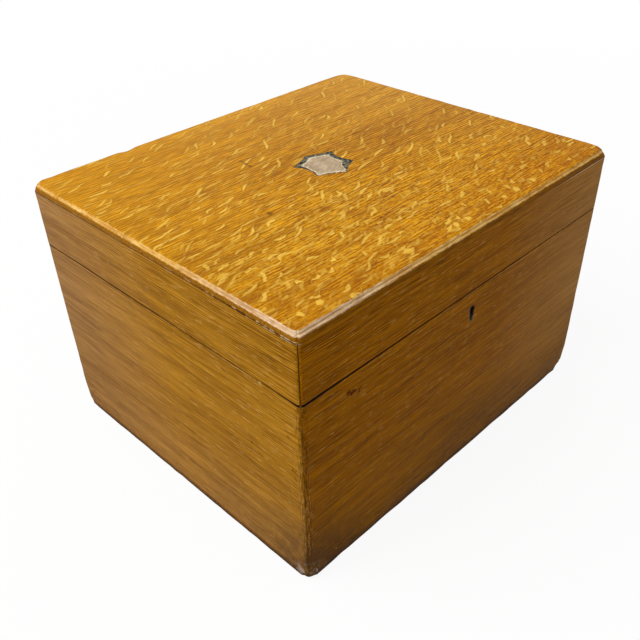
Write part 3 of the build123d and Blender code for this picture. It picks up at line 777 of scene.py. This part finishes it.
# Radius that wear gives the top board's upper edges, and an upright edge where it is least.
TOP_ROUNDING = {"left": 3.6, "front": 4.2, "right": 2.6, "back": 3.0}
SHARP_RADIUS = 2.0
DENT_REACH = 6.5
LIFT_REACH = 3.0
# A nick in the back edge of the top: its place, its reach, and how it pushes the wood in.
NICK = (-85.0, 138.5, 210.0)
NICK_REACH = 5.0
NICK_PUSH = Vector((0.2, -1.2, -1.6))
NICK_DEPTH = 1.3
# The lid's near mitre has opened by this much, as far as this from the corner.
MITRE_OPENING = 0.32
MITRE_REACH = 12.0
# The way into the wood from each outer face.
INWARD = {
    "left": Vector((1, 0, 0)), "right": Vector((-1, 0, 0)), "front": Vector((0, 1, 0)),
    "back": Vector((0, -1, 0)), "top": Vector((0, 0, -1)), "foot": Vector((0, 0, 1)),
}


def cut_places(low, high, step):
    """Places to cut between low and high, close together near both ends."""
    span = high - low
    ends = [e for e in EDGE_STEPS if e < span / 2]
    inner = span - 2 * ends[-1]
    count = max(1, round(inner / step))
    middle = [ends[-1] + inner * i / count for i in range(count + 1)]
    return sorted({round(low + e, 5) for e in ends + middle + [span - e for e in ends]})


def fine_mesh(node, step, axes=(0, 1, 2)):
    """A bmesh of the node's own shape, in millimetres, cut into small faces."""
    bm = bmesh.new()
    bm.from_mesh(NODES[node].data)
    bmesh.ops.scale(bm, vec=(1000, 1000, 1000), verts=bm.verts)
    bmesh.ops.remove_doubles(bm, verts=bm.verts, dist=0.002)
    low, high = (corner * 1000 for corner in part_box(node))
    for axis in axes:
        normal = Vector((0, 0, 0))
        normal[axis] = 1
        for at in cut_places(low[axis], high[axis], step):
            geometry = bm.verts[:] + bm.edges[:] + bm.faces[:]
            bmesh.ops.bisect_plane(
                bm, geom=geometry, dist=0.001, plane_co=normal * at, plane_no=normal
            )
    return bm


def faces_near(p):
    """How far the point is inside each outer face of the box."""
    return {
        "left": p.x + WIDTH / 2, "right": WIDTH / 2 - p.x, "front": p.y + DEPTH / 2,
        "back": DEPTH / 2 - p.y, "top": HEIGHT - p.z, "foot": p.z,
    }


def fading(strength, reach, away):
    """A strength that falls to 0 at its reach, and below 0 past it."""
    return strength * (1 - away / reach)


def worn_at(p):
    """How worn a point is: 1 on a bare edge, and less away from it."""
    near = faces_near(p)
    most = 0.0
    for one, other, strength, reach in WORN_EDGES:
        away = math.hypot(near[one], near[other])
        if (one, other) in FADING:
            strength *= 1 - FADING_BY * near[FADING[one, other]] / WIDTH
        most = max(most, fading(strength, reach, away))
    for sx, sy, _, foot in CORNERS:
        away = math.dist(p, (sx * WIDTH / 2, sy * DEPTH / 2, 0))
        most = max(most, fading(FOOT_WEAR, foot * FOOT_WEAR_REACH, away))
    return most


def grime_at(p):
    """How grimy a point is, by the seam, the near corner and the foot."""
    near = faces_near(p)
    inside = min(near["left"], near["right"], near["front"], near["back"])
    seam = fading(*SEAM_GRIME, abs(p.z - SEAM_AT)) * (1 - min(1, inside / 3))
    foot = fading(*FOOT_GRIME, p.z)
    if p.z >= SEAM_AT:
        return max(0.0, seam, foot)
    corner = fading(*CORNER_GRIME, math.hypot(near["left"], near["front"]))
    return max(0.0, seam, corner, foot)


def dent(out, p, near):
    """Pushes the worn edges in, here and there."""
    for one, other, strength, _ in WORN_EDGES:
        away = math.hypot(near[one], near[other])
        if away < DENT_REACH:
            deep = noise.noise(p / 9.0) + 0.5 * noise.noise(p / 3.0)
            deep = max(0.0, deep + 0.12) * 0.75 * strength * (1 - away / DENT_REACH)
            out += (INWARD[one] + INWARD[other]) * deep * 0.7


def round_top(out):
    """Rounds the upper edges of the top board."""
    near = faces_near(out)
    for side, radius in TOP_ROUNDING.items():
        across, up = radius - near[side], radius - near["top"]
        if across > 0 and up > 0:
            short = 1 - max(across, up) / math.hypot(across, up)
            out += INWARD[side] * across * short + INWARD["top"] * up * short


def round_corners(out, p, node):
    """Rounds the upright edges, more towards the top of the lid and the foot of the box."""
    for sx, sy, top, foot in CORNERS:
        if node == "lid_top_board":
            rise = min(1, max(0, (p.z - TOP_JOINT_AT) / 6))
            radius = SHARP_RADIUS + (top - SHARP_RADIUS) * rise**0.7
        else:
            fall = min(1, max(0, (30 - p.z) / 25))
            radius = SHARP_RADIUS + (foot - SHARP_RADIUS) * fall
        ax = sx * out.x - (WIDTH / 2 - radius)
        ay = sy * out.y - (DEPTH / 2 - radius)
        if ax > 0 and ay > 0:
            share = max(ax, ay) / math.hypot(ax, ay)
            out.x = sx * (WIDTH / 2 - radius + ax * share)
            out.y = sy * (DEPTH / 2 - radius + ay * share)


def round_foot(out, p):
    """Rounds the four foot corners off as uneven balls."""
    for sx, sy, _, foot in CORNERS:
        middle = Vector((sx * (WIDTH / 2 - foot), sy * (DEPTH / 2 - foot), foot))
        arm = out - middle
        if arm.x * sx > 0 and arm.y * sy > 0 and arm.z < 0 and arm.length > foot:
            out[:] = middle + arm * (foot * (0.97 + 0.05 * noise.noise(p / 4)) / arm.length)


def lift_foot(out, p, near):
    """Wears the foot edges upwards, in long and short waves."""
    inside = min(near["left"], near["front"], near["right"], near["back"])
    if near["foot"] < LIFT_REACH and inside < 9.9:
        lift = 0.4 + 0.5 * noise.noise(Vector((p.x / 40, p.y / 40, 3.0)))
        lift += 0.6 * noise.noise(Vector((p.x / 9, p.y / 9, 7.0)))
        out.z += max(0.0, lift) * 1.5 * (1 - near["foot"] / LIFT_REACH)


def open_mitre(out, p, near, node):
    """Draws the front and the left rail of the lid back from their mitre."""
    opening = MITRE_OPENING * max(0.0, 1 - min(near["left"], near["front"]) / 4)
    in_rails = SEAM_AT < p.z < TOP_JOINT_AT
    if in_rails and near["left"] < MITRE_REACH and near["front"] < MITRE_REACH:
        if node == "lid_front_rail":
            out.x += opening * max(0.0, 1 - (near["left"] - near["front"]) / 3)
        if node == "lid_left_rail":
            out.y += opening * max(0.0, 1 - (near["front"] - near["left"]) / 3)


def worn_place(p, node):
    """Where wear has moved a point of a board: always inwards, and the same for neighbours."""
    near = faces_near(p)
    out = p.copy()
    dent(out, p, near)
    round_top(out)
    round_corners(out, p, node)
    round_foot(out, p)
    lift_foot(out, p, near)
    away = math.dist(p, NICK)
    if away < NICK_REACH:
        out += NICK_PUSH * (1 - away / NICK_REACH) * NICK_DEPTH
    open_mitre(out, p, near, node)
    return out


def finish_mesh(bm, name, body, material, values=(), sharp=32):
    """Makes the object of a bmesh that is in millimetres, and sets it riding.

    values are named numbers for each point, and sharp the least angle of an edge that
    stays sharp, in degrees.
    """
    mesh = bpy.data.meshes.new(name)
    for key in values:
        layer = bm.verts.layers.float.new(key)
        for v, amount in zip(bm.verts, values[key]):
            v[layer] = amount
    bmesh.ops.scale(bm, vec=(MM, MM, MM), verts=bm.verts)
    bm.to_mesh(mesh)
    bm.free()
    mesh.shade_smooth()
    mesh.set_sharp_from_angle(angle=math.radians(sharp))
    mesh.materials.append(material)
    made = link(name, mesh)
    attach(made, body)
    return made


def aged(node, material):
    """A board with worn edges, dents and grime, which stands for its CAD node."""
    body = "lid" if node.startswith("lid") else "box"
    bm = fine_mesh(node, BOARD_STEP)
    bm.verts.ensure_lookup_table()
    places = [v.co.copy() for v in bm.verts]
    values = {"worn": [worn_at(p) for p in places], "grime": [grime_at(p) for p in places]}
    for v, p in zip(bm.verts, places):
        v.co = worn_place(p, node)
    made = finish_mesh(bm, "worn_" + node, body, material, values)
    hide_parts(node)


# Cartouche and velvet

PLATE_STEP = 1.6
PLATE_BRIGHT = (204, 182, 146)
PLATE_DULL = (154, 128, 88)
PLATE_SCRATCH = (112, 86, 54)
PLATE_OUTLINE = (244, 226, 190)
CRUST_DARK = (18, 20, 20)
CRUST_PALE = (150, 146, 118)
CRUST_RIM = (52, 44, 32)
LINING_STEP = 9.0
PAD_STEP = 7.0
CLOTH_SHARP = 80
# The pad's simulation, how far it may move a point, in metres, and how far the pad's sides
# pull in, in millimetres.
PAD_FRAMES = 20
PAD_PRESSURE = 4.0
PAD_CAP = 0.0022
PAD_PULL = 1.4


def from_outline(bm, high):
    """How far each point is from the outline of the plate's upper face."""
    edges = [
        [v.co.copy() for v in e.verts] for e in bm.edges
        if len(e.link_faces) == 2 and e.calc_face_angle(0) > 1.2
        and all(v.co.z > high - 0.05 for v in e.verts)
    ]
    rim = []
    for v in bm.verts:
        away = []
        for a, b in edges:
            along = b - a
            share = max(0.0, min(1.0, (v.co - a).dot(along) / along.length_squared))
            away.append((a + along * share - v.co).length)
        rim.append(min(away))
    return rim


def tarnished_plate():
    """Bare metal in the middle, ragged dark crust at the rim. rim comes from from_outline()."""
    g = Graph("tarnished_plate")
    at = g.place()
    x, y, _ = g.split(at)
    away = g.attribute("rim")
    ragged = g.noise(g.vec("DIVIDE", at, (1.7, 1.7, 1.7)), 4, 0.75)
    specks = g.stretched(at, (2.6, 2.6, 2.6), 4, 0.8, 0.45, 0.63)
    cloud = g.stretched(at, (9, 9, 9), 4, 0.6)
    slant = g.vec("ADD", g.vec("MULTIPLY", at, (1, 1, 0)), g.join(0.0, g.mul(x, -0.4)))
    scratch = g.stretched(slant, (9, 0.8, 3), 2, 0.6, 0.35, 0.65)
    wide = g.most(g.range(y, 2, 15, 0.9, 4.0), g.range(x, 3, 13, 0.9, 4.6))
    wide = g.add(wide, g.range(g.vec("DISTANCE", at, (13, -13, HEIGHT)), 10, 3, 0, 6.5))
    inside = g.sub(g.total((away, 1.0), (ragged, -8.0)), g.sub(wide, 4.0))
    crust = g.range(inside, 0.4, -0.3)
    colour = g.mix(cloud, linear(PLATE_DULL), linear(PLATE_BRIGHT))
    colour = g.mix(g.mul(scratch, 0.7), colour, linear(PLATE_SCRATCH))
    outline = g.mul(g.line(inside, 0.8, 0.2, 0.4), g.range(ragged, 0.35, 0.55, 0.3, 1))
    colour = g.mix(outline, colour, linear(PLATE_OUTLINE))
    dirt = g.mix(specks, linear(CRUST_DARK), linear(CRUST_PALE))
    colour = g.mix(crust, colour, dirt)
    colour = g.mix(g.range(away, 0.6, 0.2, 0, 0.75), colour, linear(CRUST_RIM))
    height = g.total((ragged, 0.5), (crust, -1.0), (scratch, 0.2))
    return g.surface(
        Base_Color=colour,
        Metallic=g.range(crust, 0, 1, 0.45, 0.0),
        Roughness=g.range(crust, 0, 1, 0.45, 0.85),
        Specular_IOR_Level=0.2,
        Normal=g.bump(height, 0.2, 0.9),
    )


def cartouche():
    """The shield, its edge rounded and its face not quite flat."""
    bm = fine_mesh("lid_cartouche", PLATE_STEP, (0, 1))
    high = max(v.co.z for v in bm.verts)
    rim = from_outline(bm, high)
    for v, away in zip(bm.verts, rim):
        if v.co.z > high - 0.05:
            v.co.z -= 0.18 * max(0.0, 1 - away / 0.8) - 0.04 * noise.noise(v.co / 3)
    made = finish_mesh(
        bm, "worn_cartouche", "lid", tarnished_plate(), {"rim": rim}
    )
    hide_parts("lid_cartouche")


def lining(node, material):
    """A card covered in velvet: the cloth is drawn over its edges and is not quite flat."""
    bm = fine_mesh(node, LINING_STEP)
    bm.normal_update()
    for v in bm.verts:
        v.co += v.normal * 0.14 * (noise.noise(v.co / 14) + 0.5 * noise.noise(v.co / 4) - 0.6)
    made = finish_mesh(bm, "cloth_" + node, "box", material, sharp=CLOTH_SHARP)
    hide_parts(node)


def swollen(pad, pinned):
    """Blows the pad up as stuffed cloth, with its glued back held and every point kept near."""
    home = [v.co.copy() for v in pad.data.vertices]
    group = pad.vertex_groups.new(name="glued")
    group.add(pinned, 1.0, "REPLACE")
    cloth = pad.modifiers.new("stuffing", "CLOTH")
    cloth.settings.use_pressure = True
    cloth.settings.uniform_pressure_force = PAD_PRESSURE
    cloth.settings.vertex_group_mass = "glued"
    cloth.settings.effector_weights.gravity = 0.0
    scene = bpy.context.scene
    for number in range(1, PAD_FRAMES + 1):
        scene.frame_set(number)
    view = bpy.context.evaluated_depsgraph_get()
    moved = [v.co.copy() for v in pad.evaluated_get(view).data.vertices]
    pad.modifiers.remove(cloth)
    scene.frame_set(1)
    for v, start, end in zip(pad.data.vertices, home, moved):
        step = end - start
        v.co = start + step * min(1.0, PAD_CAP / max(step.length, 1e-9))


def lid_pad(material):
    """The velvet pad: its sides pull in between its corners, and its stuffing swells it."""
    bm = fine_mesh("lid_pad", PAD_STEP)
    low, high = (corner * 1000 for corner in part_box("lid_pad"))
    middle = (low + high) / 2
    half = (high - low) / 2
    pinned = []
    for number, v in enumerate(bm.verts):
        across = (v.co.x - middle.x) / half.x
        deep = (v.co.y - middle.y) / half.y
        if v.co.z > high.z - 0.3:
            pinned.append(number)
        else:
            v.co.x -= math.copysign(PAD_PULL, across) * abs(across) ** 8 * (1 - deep**2)
            v.co.y -= math.copysign(PAD_PULL, deep) * abs(deep) ** 8 * (1 - across**2)
            v.co.z += 1.1 + 0.25 * noise.noise(v.co / 9)
    pad = finish_mesh(bm, "velvet_lid_pad", "lid", material, sharp=CLOTH_SHARP)
    swollen(pad, pinned)
    smooth = pad.modifiers.new("soften", "SUBSURF")
    smooth.levels = smooth.render_levels = 1
    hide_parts("lid_pad")


# Dressing the nodes


def dress(material, *names):
    for name in names:
        node = NODES[name]
        if not node.material_slots:
            node.data.materials.append(material)
        for one in node.material_slots:
            one.material = material


bpy.context.scene.view_settings.view_transform = "Standard"
add_camera()
set_world(level=0.4)
add_lamp("key", (-1.3, 0.5, 1.9), size=1.4, level=0.74)
add_lamp("back", (1.6, 1.7, 1.5), size=1.4, level=0.10)
add_floor()

aged("lid_top_board", top_oak())
ends = side_oak(
    "oak_left", "y", (194, 136, 34), (132, 84, 4), (100, 60, 0), 40.0,
    lower=((122, 80, 30), (182, 132, 74)),
    far=((134, 94, 54), (180, 138, 96), -10, 130),
    marks=LEFT_MARKS,
)
# Its far tones towards the right end are a painted reflection haze.
fronts = side_oak(
    "oak_front", "x", (188, 118, 4), (124, 70, 0), (80, 40, 0), 90.0,
    lower=((88, 52, 0), (152, 100, 10)),
    far=((168, 116, 50), (206, 154, 88), 30, 150),
    marks=FRONT_MARKS,
    figure=FRONT_FIGURE,
)
for name in ("left_board", "lid_left_rail", "right_board", "lid_right_rail"):
    aged(name, ends)
for name in ("front_board", "lid_front_rail", "back_board", "lid_back_rail", "bottom_board"):
    aged(name, fronts)
dress(
    plain_oak("oak_inside_x", "x", 150.0),
    "glass_row_divider", "decanter_row_divider", "glass_shelves",
)
dress(
    plain_oak("oak_inside_y", "y", 210.0),
    "left_cross_divider", "right_cross_divider", "left_glass_divider",
    "middle_glass_divider", "right_glass_divider", "shelf_bearers",
)
dress(
    metal("brass", (206, 172, 104), (120, 92, 52)),
    "lock_plate", "lock_cap", "lock_screws", "lock_bolt",
    "left_hinge_lower_leaf", "right_hinge_lower_leaf", "left_hinge_upper_leaf",
    "right_hinge_upper_leaf", "left_hinge_pin", "right_hinge_pin", "hinge_box_screws",
    "hinge_lid_screws", "link_plate", "link_screws",
)
dress(dark_liner(), "keyhole_escutcheon")
cartouche()
dress(metal("steel", (120, 118, 116), (60, 58, 56)), "lock_drill_pin", "lock_spring")
plush = velvet((150, 24, 38), (84, 8, 18))
for side in ("base", "front", "back", "left", "right"):
    lining(side + "_lining", plush)
lid_pad(plush)
